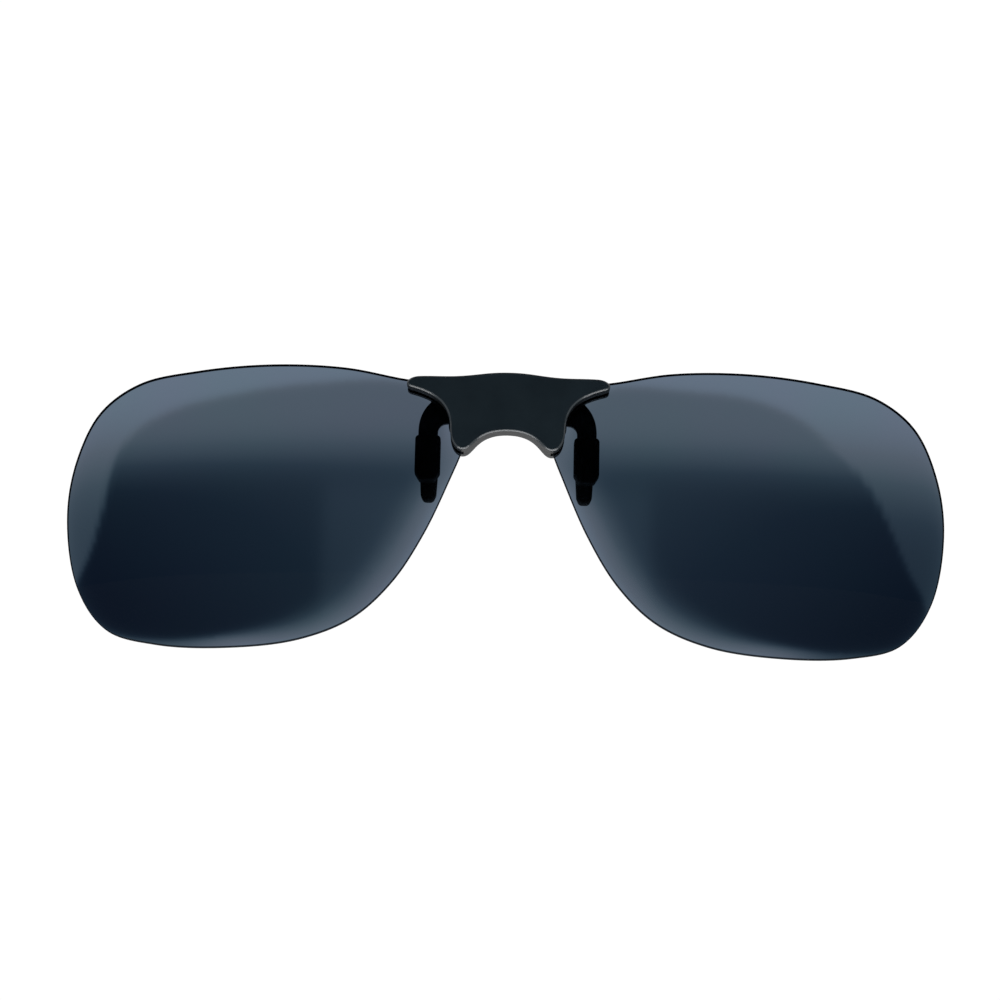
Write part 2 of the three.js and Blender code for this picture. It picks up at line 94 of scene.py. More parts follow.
COVER_Y = (-8.0, -5.0)
COVER_CHAMFER = 0.24
HOUSING_EDGE, BASE_RIM = 0.05, 0.35  # how far the moulded edges are rounded
COVER_WALL_LEAN = 0.35  # a face whose normal leans less than this to the front or back is wall, painted darker as shade
BASE_Y = (-4.9, -2.6)
HOUSING_TOP = 11.7
COVER_ARCH_TOP, BASE_ARCH_TOP = 2.5, 3.0
HOUSING_POINTS = 300

PIVOT_Y, PIVOT_Z = -0.6, 7.6
PIN_RADIUS, PIN_HEAD_RADIUS, PIN_HEAD_LENGTH = 0.6, 1.0, 0.6
EAR_BORE, KNUCKLE_BORE = 0.63, 0.66
KNUCKLE_RADIUS, KNUCKLE_RIM = 1.7, 0.15
EAR_X = (3.9, 5.2)
KNUCKLE_X = (2.4, 3.7)

LENS_SCREWS = {"lower": (7.6, 4.3), "upper": (10.5, 8.6)}
SCREW_SHANK, SCREW_HEAD, SCREW_SEAT_Y = 0.6, 1.2, -1.7
THREAD_PITCH, THREAD_ROOT, THREAD_END_Y = 0.3, 0.5, -3.0
SCREW_SLOT_HALF, SCREW_SLOT_DEPTH = 0.17, 0.3
SCREW_HOLE, SCREW_HOLE_BOTTOM_Y = 0.72, -7.0
LENS_HOLE, BUSH_RADIUS = 1.1, 1.0
RIVETS = {"lower": (7.2, 6.5), "upper": (7.2, 8.3)}
RIVET_SHANK, RIVET_HEAD, RIVET_HEAD_LENGTH = 0.5, 0.8, 0.4
RIVET_HOLE = 0.58

ARM_RIM = 0.1
FRONT_ARM_Y = (-2.55, -1.75)
FRONT_SHAFT_X, FRONT_SHAFT_TOP, FRONT_SHAFT_BOTTOM, FRONT_SHAFT_HALF = 12.2, 3.4, -3.3, 1.5
FRONT_HOOK_RADIUS = 1.35
FRONT_BOSS_RADIUS = 1.45
REAR_ARM_Y = (0.7, 1.5)
REAR_SHAFT_X, REAR_SHAFT_TOP, REAR_SHAFT_BOTTOM = 12.0, 4.5, -6.1
REAR_SHAFT_HALF = (1.2, 0.72)  # at its top and bottom
FRONT_SLEEVE_Y, REAR_SLEEVE_Y = (-3.0, -0.15), (0.15, 2.2)
SLEEVE_GAP = 0.1
SLEEVE_RIM = 0.42

LEVER_FRONT, LEVER_THICKNESS, LEVER_RIM = 1.55, 1.5, 0.35
LEVER_BOTTOM, LEVER_BEND, LEVER_TOP = 4.7, 9.3, 13.6
LEVER_SHOULDER = 4.75  # where the tab starts, up from the bottom
TAB_LEAN = math.radians(35)
PLATE_HALF, TAB_HALF = 9.2, 6.5
BEND_RADIUS = 3.0  # of the lever's front face
BEND_SETBACK = BEND_RADIUS * math.tan(TAB_LEAN / 2)
BEND_START = LEVER_BEND - LEVER_BOTTOM - BEND_SETBACK
BEND_RUN = BEND_RADIUS * TAB_LEAN
LEVER_LENGTH = BEND_START + BEND_RUN + (LEVER_TOP - LEVER_BEND) / math.cos(TAB_LEAN) - BEND_SETBACK

SPRING_WIRE, SPRING_RADIUS, SPRING_PITCH, SPRING_TURNS = 0.225, 1.1, 0.6, 4.5
SPRING_STEPS_A_TURN, SPRING_LEG_STEPS = 28, 10
SPRING_HALF = SPRING_TURNS * SPRING_PITCH / 2

# --- camera and stage, in metres ------------------------------------------------------------------

CAMERA_PLACE = Vector((-0.951, -355.04, -81.95)) * MM
CAMERA_RISE = math.radians(12)  # the camera looks up by this much
CAMERA_ROLL = math.radians(1.17)
BACKDROP_STRENGTH = 1.03
FRONT_TONE = (0.035, 0.05, 0.065, 1)  # of the studio behind the camera
SIDE_TONE = (0.38, 0.39, 0.41, 1)  # of the rest of it
FLOOR_HALF, FLOOR_Z = 3.0, -0.105
FLOOR_GREY, FLOOR_GLOW = 0.35, 0.6


def make_camera():
    data = bpy.data.cameras.new("camera")
    data.lens, data.sensor_width = 85, 36
    data.clip_start, data.clip_end = 0.01, 20
    cam = bpy.data.objects.new("camera", data)
    scene.collection.objects.link(cam)
    forward = Vector((0, math.cos(CAMERA_RISE), math.sin(CAMERA_RISE)))
    level_up = Vector((0, -math.sin(CAMERA_RISE), math.cos(CAMERA_RISE)))
    right = Vector((math.cos(CAMERA_ROLL), 0, 0)) + math.sin(CAMERA_ROLL) * level_up
    up = right.cross(forward)
    cam.matrix_world = Matrix.Translation(CAMERA_PLACE) @ Matrix((right, up, -forward)).transposed().to_4x4()
    scene.camera = cam


def make_world():
    """White behind everything that is seen or seen through, and a soft studio in what is mirrored and lit:
    bright low down and at the sides, dim overhead, dark where the camera stands."""
    world = bpy.data.worlds.new("studio")
    scene.world = world
    world.use_nodes = True
    tree = world.node_tree
    tree.nodes.clear()

    def soft_range(value, start, end, low, high):
        """A number that goes from low to high as value goes from start to end."""
        node = tree.nodes.new("ShaderNodeMapRange")
        node.interpolation_type = "SMOOTHSTEP"
        for name, number in (("From Min", start), ("From Max", end), ("To Min", low), ("To Max", high)):
            node.inputs[name].default_value = number
        tree.links.new(value, node.inputs["Value"])
        return node.outputs[0]

    def combined(operation, first, second):
        node = tree.nodes.new("ShaderNodeMath")
        node.operation = operation
        tree.links.new(first, node.inputs[0])
        tree.links.new(second, node.inputs[1])
        return node.outputs[0]

    def background(strength):
        node = tree.nodes.new("ShaderNodeBackground")
        node.inputs["Color"].default_value = (1, 1, 1, 1)
        node.inputs["Strength"].default_value = strength
        return node

    direction = tree.nodes.new("ShaderNodeSeparateXYZ")
    tree.links.new(tree.nodes.new("ShaderNodeTexCoord").outputs["Generated"], direction.inputs[0])
    from_the_side = soft_range(direction.outputs["Y"], -0.8, -0.15, 0, 1)
    from_below = soft_range(direction.outputs["Z"], 0.1, 0.9, 1, 0.4)
    tone = tree.nodes.new("ShaderNodeMixRGB")
    tone.inputs[1].default_value = FRONT_TONE
    tone.inputs[2].default_value = SIDE_TONE
    tree.links.new(combined("MULTIPLY", from_the_side, from_below), tone.inputs[0])
    studio, backdrop = background(1.0), background(BACKDROP_STRENGTH)
    tree.links.new(tone.outputs[0], studio.inputs["Color"])
    path = tree.nodes.new("ShaderNodeLightPath")
    mix = tree.nodes.new("ShaderNodeMixShader")
    tree.links.new(combined("MAXIMUM", path.outputs["Is Camera Ray"], path.outputs["Is Transmission Ray"]),
                   mix.inputs[0])
    tree.links.new(studio.outputs[0], mix.inputs[1])
    tree.links.new(backdrop.outputs[0], mix.inputs[2])
    tree.links.new(mix.outputs[0], tree.nodes.new("ShaderNodeOutputWorld").inputs[0])


def area_light(name, place, aim, size, power):
    data = bpy.data.lights.new(name, "AREA")
    data.shape, data.size, data.size_y = "RECTANGLE", size[0], size[1]
    data.energy = power
    light = bpy.data.objects.new(name, data)
    light.location = place
    light.rotation_euler = (Vector(aim) - Vector(place)).to_track_quat("-Z", "Y").to_euler()
    light.visible_camera = False
    light.visible_transmission = False
    scene.collection.objects.link(light)


def make_stage():
    mesh = bpy.data.meshes.new("floor")
    corners = ((-1, -1), (1, -1), (1, 1), (-1, 1))
    mesh.from_pydata([(FLOOR_HALF * x, FLOOR_HALF * y, FLOOR_Z) for x, y in corners], [], [(0, 1, 2, 3)])
    floor = bpy.data.objects.new("floor", mesh)
    scene.collection.objects.link(floor)
    mat = bpy.data.materials.new("floor_paper")
    mat.use_nodes = True
    shader = mat.node_tree.nodes["Principled BSDF"]
    shader.inputs["Base Color"].default_value = (FLOOR_GREY, FLOOR_GREY, FLOOR_GREY, 1)
    shader.inputs["Roughness"].default_value = 0.9
    shader.inputs["Specular IOR Level"].default_value = 0.0
    shader.inputs["Emission Color"].default_value = (1, 1, 1, 1)
    shader.inputs["Emission Strength"].default_value = FLOOR_GLOW
    floor.data.materials.append(mat)
    area_light("low_light", place=(0, -0.03, -0.1), aim=(0, -0.008, 0), size=(0.2, 0.016), power=0.08)
    for side, sign in SIDES.items():
        place = (sign * 0.62, 0.3, 0.5)
        area_light(f"side_light_{side}", place=place, aim=(0, 0, 0), size=(1, 1), power=2.2)


# --- outlines, in millimetres: arrays of (x, z), anticlockwise seen from the front ----------------


def bezier(p0, p1, p2, p3, steps):
    t = np.arange(steps)[:, None] / steps
    p0, p1, p2, p3 = map(np.array, (p0, p1, p2, p3))
    return (1 - t) ** 3 * p0 + 3 * (1 - t) ** 2 * t * p1 + 3 * (1 - t) * t**2 * p2 + t**3 * p3


def arc(centre, radius, start, end, steps):
    a = np.radians(np.linspace(start, end, steps))
    return np.column_stack([centre[0] + radius * np.cos(a), centre[1] + radius * np.sin(a)])


def circle(centre, radius):
    return arc(centre, radius, 0, 360, 41)[:-1]


def anticlockwise(points):
    x, z = points[:, 0], points[:, 1]
    area = np.sum(x * np.roll(z, -1) - np.roll(x, -1) * z)
    return points if area > 0 else points[::-1]


def resample(points, count):
    """The closed outline again, with count points evenly along it."""
    closed = np.vstack([points, points[:1]])
    run = np.r_[0, np.cumsum(np.linalg.norm(np.diff(closed, axis=0), axis=1))]
    at = np.linspace(0, run[-1], count, endpoint=False)
    return np.column_stack([np.interp(at, run, closed[:, k]) for k in range(closed.shape[1])])


def smooth_closed(points, steps=24):
    """A centripetal Catmull-Rom curve through the points."""
    pts = np.array(points, float)
    out = []
    for i in range(len(pts)):
        p0, p1, p2, p3 = (pts[(i + k) % len(pts)] for k in (-1, 0, 1, 2))
        d0, d1, d2 = (math.sqrt(np.linalg.norm(b - a)) for a, b in ((p0, p1), (p1, p2), (p2, p3)))
        t1 = ((p1 - p0) / d0 - (p2 - p0) / (d0 + d1) + (p2 - p1) / d1) * d1
        t2 = ((p2 - p1) / d1 - (p3 - p1) / (d1 + d2) + (p3 - p2) / d2) * d1
        t = np.arange(steps)[:, None] / steps
        out.append((2 * t**3 - 3 * t**2 + 1) * p1 + (t**3 - 2 * t**2 + t) * t1
                   + (3 * t**2 - 2 * t**3) * p2 + (t**3 - t**2) * t2)
    return np.vstack(out)


def filleted(corners, steps=7):
    """A polygon with each corner rounded: corners are (x, z, radius)."""
    pts = np.array([c[:2] for c in corners], float)
    out = []
    for i, (x, z, radius) in enumerate(corners):
        here = np.array((x, z))
        back, ahead = pts[i - 1] - here, pts[(i + 1) % len(pts)] - here
        back, ahead = back / np.linalg.norm(back), ahead / np.linalg.norm(ahead)
        if radius <= 0:
            out.append(here[None])
            continue
        half = math.acos(np.clip(back @ ahead, -1, 1)) / 2
        run = radius / math.tan(half)
        a, b = here + back * run, here + ahead * run
        centre = here + (back + ahead) / np.linalg.norm(back + ahead) * (radius / math.sin(half))
        a0 = math.atan2(*(a - centre)[::-1])
        a1 = math.atan2(*(b - centre)[::-1])
        turn = (a1 - a0 + math.pi) % (2 * math.pi) - math.pi
        angles = a0 + turn * np.linspace(0, 1, steps)
        out.append(centre + radius * np.column_stack([np.cos(angles), np.sin(angles)]))
    return np.vstack(out)


def inset(points, amount):
    """An anticlockwise outline moved inwards by amount."""
    ahead = np.roll(points, -1, 0) - points
    ahead /= np.maximum(np.linalg.norm(ahead, axis=1), 1e-9)[:, None]
    behind = np.roll(ahead, 1, 0)
    inward_a = np.column_stack([-ahead[:, 1], ahead[:, 0]])
    inward_b = np.column_stack([-behind[:, 1], behind[:, 0]])
    miter = inward_a + inward_b
    length = np.maximum(np.sum(miter * inward_a, axis=1), 0.4)
    return points + miter / length[:, None] * amount


def housing_outline(arch_top):
    """The bridge from the front: a wing each side at the top, and a lobe each side of the nose arch."""
    steps = 22
    half = np.vstack([
        bezier((0, HOUSING_TOP), (3.4, HOUSING_TOP), (4.6, 11.2), (8.0, 11.0), steps),
        bezier((8.0, 11.0), (10, 10.9), (11.6, 11.0), (13.6, 10.9), steps),
        bezier((13.6, 10.9), (15.3, 10.8), (16.1, 9.6), (14.9, 9.2), steps),
        bezier((14.9, 9.2), (11.0, 8.2), (8.8, 6.6), (8.75, 3.0), steps),
        bezier((8.75, 3.0), (8.7, 0.6), (7.8, -0.45), (6.8, -0.45), steps),
        bezier((6.8, -0.45), (5.0, -0.45), (5.0, arch_top), (0, arch_top), steps),
        [(0, arch_top)],
    ])
    other = half[1:-1][::-1] * (-1, 1)
    return resample(anticlockwise(np.vstack([half, other])), HOUSING_POINTS)


# --- mesh building --------------------------------------------------------------------------------

SHARP_ANGLE = math.radians(40)  # an edge that turns more than this stays sharp
NO_RIM = [(0, 0)]


def new_object(name, mesh):
    obj = bpy.data.objects.new(name, mesh)
    scene.collection.objects.link(obj)
    return obj


def loft(name, rings):
    """A closed body through rings of points in millimetres, with a flat cap on each end."""
    bm = bmesh.new()
    rows = [[bm.verts.new(Vector(p) * MM) for p in ring] for ring in rings]
    for a, b in zip(rows, rows[1:]):
        for i in range(len(a)):
            j = (i + 1) % len(a)
            bm.faces.new((a[i], a[j], b[j], b[i]))
    bm.faces.new(rows[0][::-1])
    bm.faces.new(rows[-1])
    bmesh.ops.recalc_face_normals(bm, faces=bm.faces)
    mesh = bpy.data.meshes.new(name)
    bm.to_mesh(mesh)
    bm.free()
    return new_object(name, mesh)


def round_rim(radius, steps=4):
    """(inset, depth) steps of a quarter round, from the face to the wall."""
    angles = np.linspace(0, math.pi / 2, steps + 1)
    return [(radius * (1 - math.sin(a)), radius * (1 - math.cos(a))) for a in angles]


def chamfer_rim(size, soft):
    """(inset, depth) steps of a 45 degree chamfer with softened corners."""
    return [(size + soft, 0), (size + soft * 0.35, soft * 0.2), (size - soft * 0.3, soft * 0.75),
            (soft * 0.75, size - soft * 0.3), (soft * 0.2, size + soft * 0.35), (0, size + soft)]


def slab(name, outline, span, front_rim, back_rim):
    """An outline in x and z made solid from y = span[0] to span[1], with the given rims."""
    outline = anticlockwise(outline)
    rings = [(inset(outline, i), span[0] + d) for i, d in front_rim]
    rings += [(inset(outline, i), span[1] - d) for i, d in reversed(back_rim)]
    return loft(name, [np.column_stack([r[:, 0], np.full(len(r), y), r[:, 1]]) for r, y in rings])


def turned(name, profile, centre, axis, steps=40):
    """A body of revolution: profile is (distance along, radius) pairs, from end to end."""
    angles = np.linspace(0, 2 * math.pi, steps, endpoint=False)
    rings = []
    for along, radius in profile:
        c, s = radius * np.cos(angles), radius * np.sin(angles)
        place = {"x": (np.full(steps, along), c, s), "y": (s, np.full(steps, along), c)}[axis]
        rings.append(np.column_stack(place) + np.array(centre))
    return loft(name, rings)


def rod_y(centre, radius, span):
    """A cutter for a hole from front to back."""
    return turned("cutter", [(span[0], radius), (span[1], radius)], (centre[0], 0, centre[1]), "y")


def pivot_rod(radius):
    """A cutter for a hole right through on the pivot's axis."""
    profile = [(at, radius) for at in THROUGH]
    return turned("cutter", profile, (0, PIVOT_Y, PIVOT_Z), "x")


def combine(obj, other, operation):
    """Joins obj with other, or cuts it by other, which is used up."""
    mod = obj.modifiers.new("combine", "BOOLEAN")
    mod.operation, mod.object, mod.solver = operation, other, "EXACT"
    graph = bpy.context.evaluated_depsgraph_get()
    mesh = bpy.data.meshes.new_from_object(obj.evaluated_get(graph))
    obj.modifiers.clear()
    old = obj.data
    obj.data = mesh
    bpy.data.meshes.remove(old)
    spent = other.data
    bpy.data.objects.remove(other)
    bpy.data.meshes.remove(spent)


def cut(obj, *others):
    for other in others:
        combine(obj, other, "DIFFERENCE")
    return obj


def join(obj, *others):
    for other in others:
        combine(obj, other, "UNION")


def mirror_copy(obj, name):
    """The same piece on the other side of the symmetry plane."""
    mesh = obj.data.copy()
    mesh.transform(Matrix.Scale(-1, 4, (1, 0, 0)))
    mesh.flip_normals()
    return new_object(name, mesh)


def finish_pair(left, name, body, material):
    """Finishes a piece drawn on the left, and its mirror image on the right."""
    right = mirror_copy(left, name + "_right")
    for obj, side in ((left, "left"), (right, "right")):
        finish_piece(obj, f"{name}_{side}", body, material)


def finish_piece(obj, node, body, material):
    """Smooth shading with weighted normals, the material, and the piece's place in the frame."""
    obj.name = node + "_look"
    for m in material if isinstance(material, list) else [material]:
        obj.data.materials.append(m)
    obj.data.polygons.foreach_set("use_smooth", [True] * len(obj.data.polygons))
    obj.data.set_sharp_from_angle(angle=SHARP_ANGLE)
    normals = obj.modifiers.new("normals", "WEIGHTED_NORMAL")
    normals.keep_sharp = True
    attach(obj, body)
    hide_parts(node)


# --- materials ------------------------------------------------------------------------------------


class Recipe:
    """A material's node tree, built up a step at a time."""

    def __init__(self, name):
        self.material = bpy.data.materials.new(name)
        self.material.use_nodes = True
        self.tree = self.material.node_tree
        self.shader = self.tree.nodes["Principled BSDF"]
        self.place = self.tree.nodes.new("ShaderNodeTexCoord").outputs["Object"]

    def set(self, **values):
        names = {"ior": "IOR", "specular": "Specular IOR Level", "metallic": "Metallic",
                 "roughness": "Roughness", "transmission": "Transmission Weight"}
        for key, value in values.items():
            self.shader.inputs[names[key]].default_value = value
        return self

    def node(self, kind, **inputs):
        made = self.tree.nodes.new(kind)
        for key, value in inputs.items():
            socket = made.inputs[key.replace("_", " ")]
            if isinstance(value, bpy.types.NodeSocket):
                self.tree.links.new(value, socket)
            else:
                socket.default_value = value
        return made

    def noise(self, size, detail=3.0, stretch=(1, 1, 1), rough=0.5):
        """Noise whose features are about size millimetres across, drawn out along an axis by stretch."""
        mapping = self.node("ShaderNodeMapping", Vector=self.place)
        mapping.inputs["Scale"].default_value = stretch
        return self.node("ShaderNodeTexNoise", Vector=mapping.outputs[0], Scale=1 / (size * MM),
                         Detail=detail, Roughness=rough).outputs[0]

    def blend(self, factor, low, high, start=0.3, end=0.7):
        """A colour that goes from low to high as factor goes from start to end."""
        ramp = self.node("ShaderNodeValToRGB", Fac=factor)
        ramp.color_ramp.elements[0].position, ramp.color_ramp.elements[1].position = start, end
        ramp.color_ramp.elements[0].color = (*low, 1)
        ramp.color_ramp.elements[1].color = (*high, 1)
        return ramp.outputs[0]

    def spread(self, factor, low, high):
        """A number that goes from low to high with factor."""
        mapped = self.node("ShaderNodeMapRange", Value=factor)
        mapped.inputs["To Min"].default_value, mapped.inputs["To Max"].default_value = low, high
        return mapped.outputs[0]

    def feed(self, socket, value):
        self.tree.links.new(value, self.shader.inputs[socket])
        return self

    def bump(self, height, strength, depth):
        """A relief of height, depth millimetres deep, on top of any that is there already."""
        node = self.node("ShaderNodeBump", Height=height, Strength=strength, Distance=depth * MM)
        normal = self.shader.inputs["Normal"]
        if normal.is_linked:
            self.tree.links.new(normal.links[0].from_socket, node.inputs["Normal"])
        self.tree.links.new(node.outputs[0], normal)
        return self


def housing_plastic():
    r = Recipe("housing_plastic").set(ior=1.5, specular=0.5)
    r.feed("Base Color", r.blend(r.noise(6, 2), (0.0125, 0.0205, 0.0265), (0.0170, 0.0270, 0.0340)))
    r.feed("Roughness", r.spread(r.noise(2.5, 3), 0.19, 0.25))
    return r.bump(r.noise(0.12, 2), 0.05, 0.003).material


def housing_wall_matte_painted_shade():
    """The same plastic off the unpolished wall of the mould, with shade painted in as a darker colour."""
    r = Recipe("housing_wall_matte_painted_shade").set(ior=1.45, specular=0.32)
    # a darker colour than the face's: painted shade on the walls
    r.feed("Base Color", r.blend(r.noise(3, 3), (0.0035, 0.0045, 0.0053), (0.0065, 0.0080, 0.0092)))
    r.feed("Roughness", r.spread(r.noise(0.8, 3), 0.38, 0.52))
    return r.bump(r.noise(0.14, 3), 0.3, 0.006).material


def moulded_plastic():
    r = Recipe("moulded_plastic").set(ior=1.48, specular=0.45)
    r.feed("Base Color", r.blend(r.noise(4, 3), (0.011, 0.0125, 0.014), (0.018, 0.0195, 0.021)))
    r.feed("Roughness", r.spread(r.noise(0.8, 4), 0.38, 0.55))
    return r.bump(r.noise(0.14, 3, rough=0.7), 0.5, 0.012).material


def lacquered_steel():
    r = Recipe("lacquered_steel").set(ior=1.5, specular=0.5)
    r.feed("Base Color", r.blend(r.noise(2.5, 3), (0.006, 0.006, 0.007), (0.012, 0.012, 0.013)))
    r.feed("Roughness", r.spread(r.noise(0.9, 3), 0.26, 0.4))
    return r.bump(r.noise(0.45, 2), 0.35, 0.008).material


def soft_rubber():
    r = Recipe("soft_rubber").set(ior=1.45, specular=0.3)
    r.feed("Base Color", r.blend(r.noise(1.6, 4), (0.0055, 0.0055, 0.006), (0.0125, 0.0125, 0.013)))
    r.feed("Roughness", r.spread(r.noise(0.7, 4), 0.6, 0.8))
    return r.bump(r.noise(0.1, 3, rough=0.65), 0.6, 0.015).material


def drawn_steel(name, stretch):
    """Steel with fine lines from turning or drawing, along the axis where stretch is small."""
    r = Recipe(name).set(metallic=1.0)
    lines = r.noise(0.09, 4, stretch)
    r.feed("Base Color", r.blend(lines, (0.40, 0.405, 0.41), (0.62, 0.62, 0.615)))
    r.feed("Roughness", r.spread(r.noise(0.5, 3), 0.2, 0.38))
    return r.bump(lines, 0.3, 0.004).material


def nylon():
    r = Recipe("natural_nylon").set(ior=1.53, specular=0.4)
    r.feed("Base Color", r.blend(r.noise(0.9, 3), (0.60, 0.61, 0.60), (0.74, 0.745, 0.73)))
    r.feed("Roughness", r.spread(r.noise(0.4, 3), 0.4, 0.55))
    return r.bump(r.noise(0.15, 2), 0.3, 0.006).material


def tinted_lens():
    """Tinted plastic with a coating that cuts glare. The attribute says how clear each place is, with a
    painted cast shadow, a painted lit band and a painted glow along the lower edge in it.
    """
    r = Recipe("tinted_lens").set(ior=1.08, transmission=1.0, roughness=0.0)
    # the attribute holds the tint with painted light and shade: a cast shadow, a lit band and an edge glow
    clear = r.node("ShaderNodeAttribute")
    clear.attribute_name = "clear"
    ramp = r.node("ShaderNodeValToRGB", Fac=clear.outputs["Fac"])
    stops = ramp.color_ramp.elements
    tones = [
        (0.16, (0.0033, 0.0070, 0.0152)),
        (0.275, (0.0080, 0.0160, 0.0284)),
        (0.435, (0.0212, 0.0370, 0.0562)),
        (0.60, (0.0470, 0.0704, 0.0959)),
        (0.75, (0.0855, 0.1105, 0.1450)),
        (0.98, (0.1480, 0.1960, 0.2660)),
    ]
    for i, (position, tone) in enumerate(tones):
        stop = stops[i] if i < 2 else stops.new(position)
        stop.position, stop.color = position, (*tone, 1)
    bloom = r.blend(r.noise(16, 2), (1.02, 0.98, 1.01), (0.965, 1.015, 0.995))
    mixed = r.node("ShaderNodeMixRGB", Fac=1.0, Color1=ramp.outputs[0], Color2=bloom)
    mixed.blend_type = "MULTIPLY"
    r.feed("Base Color", mixed.outputs[0])
    return r.bump(r.noise(14, 1), 0.05, 0.01).material


def lens_edge():
    """The ground and dyed edge of the lens."""
    r = Recipe("lens_edge").set(ior=1.45, specular=0.02)
    lines = r.noise(0.25, 3, (1, 4, 1))
    r.feed("Base Color", r.blend(lines, (0.003, 0.005, 0.008), (0.008, 0.011, 0.015)))
    r.feed("Roughness", r.spread(lines, 0.5, 0.7))
    return r.bump(lines, 0.3, 0.006).material


# --- lenses ---------------------------------------------------------------------------------------


def sphere_y(points, radius):
    x, z = points[:, 0] - LENS_CENTRE[0], points[:, 1] - LENS_CENTRE[2]
    return LENS_CENTRE[1] - np.sqrt(radius**2 - x**2 - z**2)


def lens_solid(name, outline, thickness, rim, rings):
    """A spherical shell with the given outline, its rings closer together towards the edge."""
    middle = np.array(LENS_MIDDLE)
    shares = 1 - (1 - np.arange(rings + 1) / rings) ** 1.5
    out_rings = []

    def ring(points, radius, lift=0.0):
        out_rings.append(np.column_stack([points[:, 0], sphere_y(points, radius) + lift, points[:, 1]]))

    front, back = LENS_RADIUS + thickness / 2, LENS_RADIUS - thickness / 2
    trimmed = inset(outline, rim)
    for share in shares[1:]:
        ring(middle + (trimmed - middle) * share, front)
    if rim > 0:
        ring(inset(outline, rim * 0.3), front, rim * 0.3)
        ring(outline, front, rim)
        ring(outline, back, -rim)
        ring(inset(outline, rim * 0.3), back, -rim * 0.3)
    for share in shares[:0:-1]:
        ring(middle + (trimmed - middle) * share, back)
    return loft(name, out_rings)


def lens_outline(grow=0.0):
    return inset(resample(anticlockwise(smooth_closed(LENS_OUTLINE)), 260), -grow)


def soft_step(value):
    """0 well below zero, 1 well above, and an even change between."""
    return 1 / (1 + np.exp(-np.clip(value, -30, 30)))


def lens_tint_and_painted_light(points, painted_shadow, edge, side):
    """How clear the tint is, from 0 to 1, with light and shade painted in: darker inside a painted cast
    shadow than in the painted lit band round it, darker low down in both, and a painted glow along the
    lens's lower edge."""
    x, z = points[:, 0], points[:, 1]
    inside = distance_to(points, painted_shadow) * np.where(is_inside(points, painted_shadow), 1, -1)
    nose_side = soft_step((33 - x) / 4) * soft_step((-1 - z) / 2)
    softness = 0.22 + 0.18 * soft_step((z - 4) / 2) + 0.95 * nose_side
    # how far each place lies in the painted cast shadow
    share = soft_step(inside / softness)

    # tone inside the painted shadow
    low, high = 34, 88
    shadow_tone = low + (high - low) * soft_step((z + 1.5) / 1.9)
    shadow_tone -= (0.4 * (x - 38) + 0.5 * (-12 - z)) * soft_step((-4 - z) / 2)
    shadow_tone += 9 * soft_step((LENS_SHADOW_WEDGE_X[side] - x) / 0.6) * soft_step((-6 - z) / 1.2)

    # tone of the painted lit band round it
    low, high, nose_low = LENS_LIT_BAND_LOW[side], 112, 95
    lit_band_tone = low + (high - low) * soft_step((z + 2) / 4)
    lit_band_tone += (nose_low - low) * soft_step((46 - x) / 3) * soft_step((-5 - z) / 2)

    # painted light: a glow along the lens's lower edge
    rim = 12 * np.exp(-distance_to(points, edge) / 1.1) * soft_step((2 - z) / 2)
    return (shadow_tone * share + lit_band_tone * (1 - share) + rim) / LENS_TONES


def is_inside(points, line):
    """Which points lie within the closed line."""
    x, z = points[:, :1], points[:, 1:]
    a, b = line, np.roll(line, -1, 0)
    run = np.where(b[:, 1] == a[:, 1], 1, b[:, 1] - a[:, 1])
    crossing = ((a[:, 1] > z) != (b[:, 1] > z)) & (x < (b[:, 0] - a[:, 0]) * (z - a[:, 1]) / run + a[:, 0])
    return crossing.sum(axis=1) % 2 == 1


def distance_to(points, line):
    return np.array([np.sqrt(np.min(np.sum((line - p) ** 2, axis=1))) for p in points])


def write_tint_and_painted_light(obj, side):
    # the outline of the cast shadow painted into the tint
    painted_shadow = resample(smooth_closed(LENS_PAINTED_SHADOW_INNER + LENS_PAINTED_SHADOW_OUTER[side]), 500)
    places = np.array([v.co for v in obj.data.vertices])[:, [0, 2]] / MM
    places[:, 0] = np.abs(places[:, 0])
    tint_and_painted_light = lens_tint_and_painted_light(places, painted_shadow, resample(lens_outline(), 900), side)
    attribute = obj.data.attributes.new("clear", "FLOAT", "POINT")
    attribute.data.foreach_set("value", tint_and_painted_light.astype(np.float32))


def mark_edge_faces(obj):
    """Every face that isn't part of the front or back sphere takes the second material."""
    middle, half = Vector(LENS_CENTRE) * MM, LENS_THICKNESS / 2 * MM
    shell = [(v.co - middle).length - LENS_RADIUS * MM for v in obj.data.vertices]
    for face in obj.data.polygons:
        depths = [shell[v] for v in face.vertices]
        on_sphere = all(abs(abs(d) - half) < 0.01 * MM for d in depths) and min(depths) * max(depths) > 0
        face.material_index = 0 if on_sphere else 1


def make_lenses():
    left = lens_solid("lens_left", lens_outline(-LENS_TRIM), LENS_THICKNESS, LENS_RIM, LENS_RINGS)
    cut(left, *(rod_y(place, LENS_HOLE, THROUGH) for place in LENS_SCREWS.values()))
    mark_edge_faces(left)
    right = mirror_copy(left, "lens_right")
    looks = [tinted_lens(), lens_edge()]
    for obj, side in ((left, "left"), (right, "right")):
        write_tint_and_painted_light(obj, side)
        finish_piece(obj, f"lens_{side}", "front", looks)


def lens_rooms():
    """The room for both lenses' corners, to be cut from the housing."""
    right = lens_solid("room", lens_outline(LENS_FIT_GAP), LENS_THICKNESS + 2 * LENS_FIT_GAP, 0, 10)
    return right, mirror_copy(right, "room")


# --- housing --------------------------------------------------------------------------------------


def both_sides(places):
    return [(sign * x, z) for sign in SIDES.values() for x, z in places.values()]


